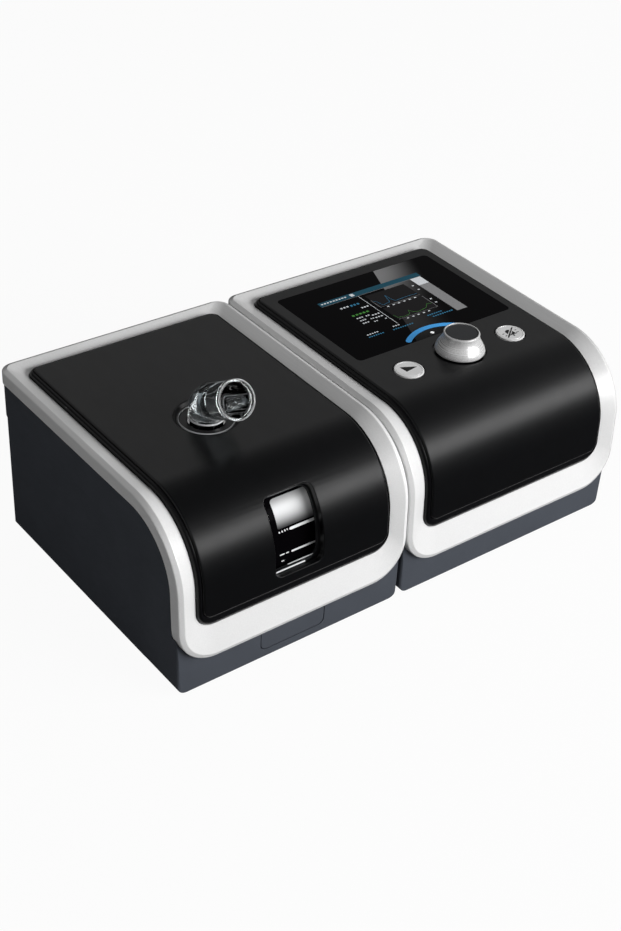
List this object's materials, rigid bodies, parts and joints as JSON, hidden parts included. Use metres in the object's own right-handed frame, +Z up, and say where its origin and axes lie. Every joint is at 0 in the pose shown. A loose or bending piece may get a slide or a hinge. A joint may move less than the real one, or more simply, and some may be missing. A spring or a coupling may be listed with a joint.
{
  "type": "breathing therapy machine",
  "caption": "Bedside CPAP machine: blower unit with screen, knob and buttons beside a heated humidifier with a hinged, windowed lid, water tank and swivelling outlet elbow.",
  "frame": {"origin": "centre of the bounding box's bottom, on the table under the feet", "axes": "+X to the right seen from the front, along the longest side; -Y to the front; +Z up"},
  "size_m": [0.3158, 0.1932, 0.1447],
  "materials": {
    "silver": "satin silver paint",
    "slate": "fine satin texture",
    "panel_black": "satin black",
    "gloss_black": "gloss",
    "dark_plastic": "moulded",
    "soft_rubber": "matt",
    "clear": "clear polycarbonate",
    "steel": "bright",
    "heater_metal": "machined",
    "screen_black": "mirror gloss",
    "lcd_dark": "switched off display",
    "light_blue": "light guide",
    "light_white": "light guide",
    "button_silver": "satin silver paint",
    "board_green": "solder mask",
    "impeller_white": "moulded",
    "filter_foam": "open foam",
    "card_blue": "moulded"
  },
  "bodies": {
    "housing": {"hum_base": "slate", "main_base": "slate", "hum_bottom": "dark_plastic", "main_bottom": "dark_plastic", "main_carrier": "dark_plastic", "encoder": "dark_plastic", "ramp_switch": "dark_plastic", "mute_switch": "dark_plastic", "blower_case": "dark_plastic", "blower_cover": "dark_plastic", "air_duct": "dark_plastic", "power_socket": "dark_plastic", "hum_foot_1": "soft_rubber", "hum_foot_2": "soft_rubber", "hum_foot_3": "soft_rubber", "hum_foot_4": "soft_rubber", "main_foot_1": "soft_rubber", "main_foot_2": "soft_rubber", "main_foot_3": "soft_rubber", "main_foot_4": "soft_rubber", "tank_seal": "soft_rubber", "port_seal": "soft_rubber", "main_frame": "silver", "main_trim": "gloss_black", "main_panel": "panel_black", "tank_body": "clear", "tank_cover": "clear", "tank_inlet": "clear", "hinge_pin_left": "steel", "hinge_pin_right": "steel", "latch_spring": "steel", "tank_plate": "steel", "heater_spring": "steel", "blower_motor": "steel", "screen_glass": "screen_black", "lcd": "lcd_dark", "light_arc": "light_blue", "status_led": "light_white", "control_board": "board_green", "main_board": "board_green", "filter": "filter_foam"},
    "lid": {"lid_frame": "silver", "lid_trim": "gloss_black", "lid_panel": "panel_black", "lid_liner": "dark_plastic", "lid_seal": "soft_rubber", "outlet_collar": "gloss_black"},
    "elbow": {"elbow": "clear", "elbow_ring": "soft_rubber"},
    "latch": {"latch": "slate"},
    "heater": {"heater_plate": "heater_metal"},
    "shaft": {"encoder_shaft": "steel"},
    "knob": {"knob": "silver", "knob_cap": "panel_black"},
    "ramp_button": {"ramp_button": "button_silver"},
    "mute_button": {"mute_button": "button_silver"},
    "impeller": {"impeller": "impeller_white"},
    "filter_cover": {"filter_cover": "slate"},
    "memory_card": {"memory_card": "card_blue"}
  },
  "joints": [
    {"name": "lid_hinge", "type": "hinge", "parent": "housing", "child": "lid", "pos_m": [-0.0828, 0.0935, 0.1009], "axis": [-1, 0, 0], "range_deg": [0, 80]},
    {"name": "elbow_swivel", "type": "hinge", "parent": "lid", "child": "elbow", "pos_m": [-0.0883, -0.01375, 0.1099], "axis": [0, 0, 1], "continuous": true},
    {"name": "latch_press", "type": "slide", "parent": "housing", "child": "latch", "axis": [0, 1, 0], "range_m": [0, 0.0024], "stiffness_N_per_m": 500, "springref_m": -0.002, "deforming": ["latch_spring"]},
    {"name": "heater_plate_press", "type": "slide", "parent": "housing", "child": "heater", "axis": [0, 0, -1], "range_m": [0, 0.0015], "stiffness_N_per_m": 1500, "springref_m": -0.002, "deforming": ["heater_spring"]},
    {"name": "knob_press", "type": "slide", "parent": "housing", "child": "shaft", "axis": [0, 0, -1], "range_m": [0, 0.001], "stiffness_N_per_m": 1500, "springref_m": -0.001},
    {"name": "knob_turn", "type": "hinge", "parent": "shaft", "child": "knob", "pos_m": [0.0753, -0.03445, 0.1099], "axis": [0, 0, 1], "continuous": true},
    {"name": "ramp_press", "type": "slide", "parent": "housing", "child": "ramp_button", "axis": [0, 0, -1], "range_m": [0, 0.001], "stiffness_N_per_m": 1000, "springref_m": -0.0005},
    {"name": "mute_press", "type": "slide", "parent": "housing", "child": "mute_button", "axis": [0, 0, -1], "range_m": [0, 0.001], "stiffness_N_per_m": 1000, "springref_m": -0.0005},
    {"name": "impeller_spin", "type": "hinge", "parent": "housing", "child": "impeller", "pos_m": [0.0675, 0.01425, 0.0274], "axis": [0, 0, 1], "continuous": true},
    {"name": "filter_cover_pull", "type": "slide", "parent": "housing", "child": "filter_cover", "axis": [0, 1, 0], "range_m": [0, 0.01]},
    {"name": "memory_card_pull", "type": "slide", "parent": "housing", "child": "memory_card", "axis": [1, 0, 0], "range_m": [0, 0.012]}
  ]
}
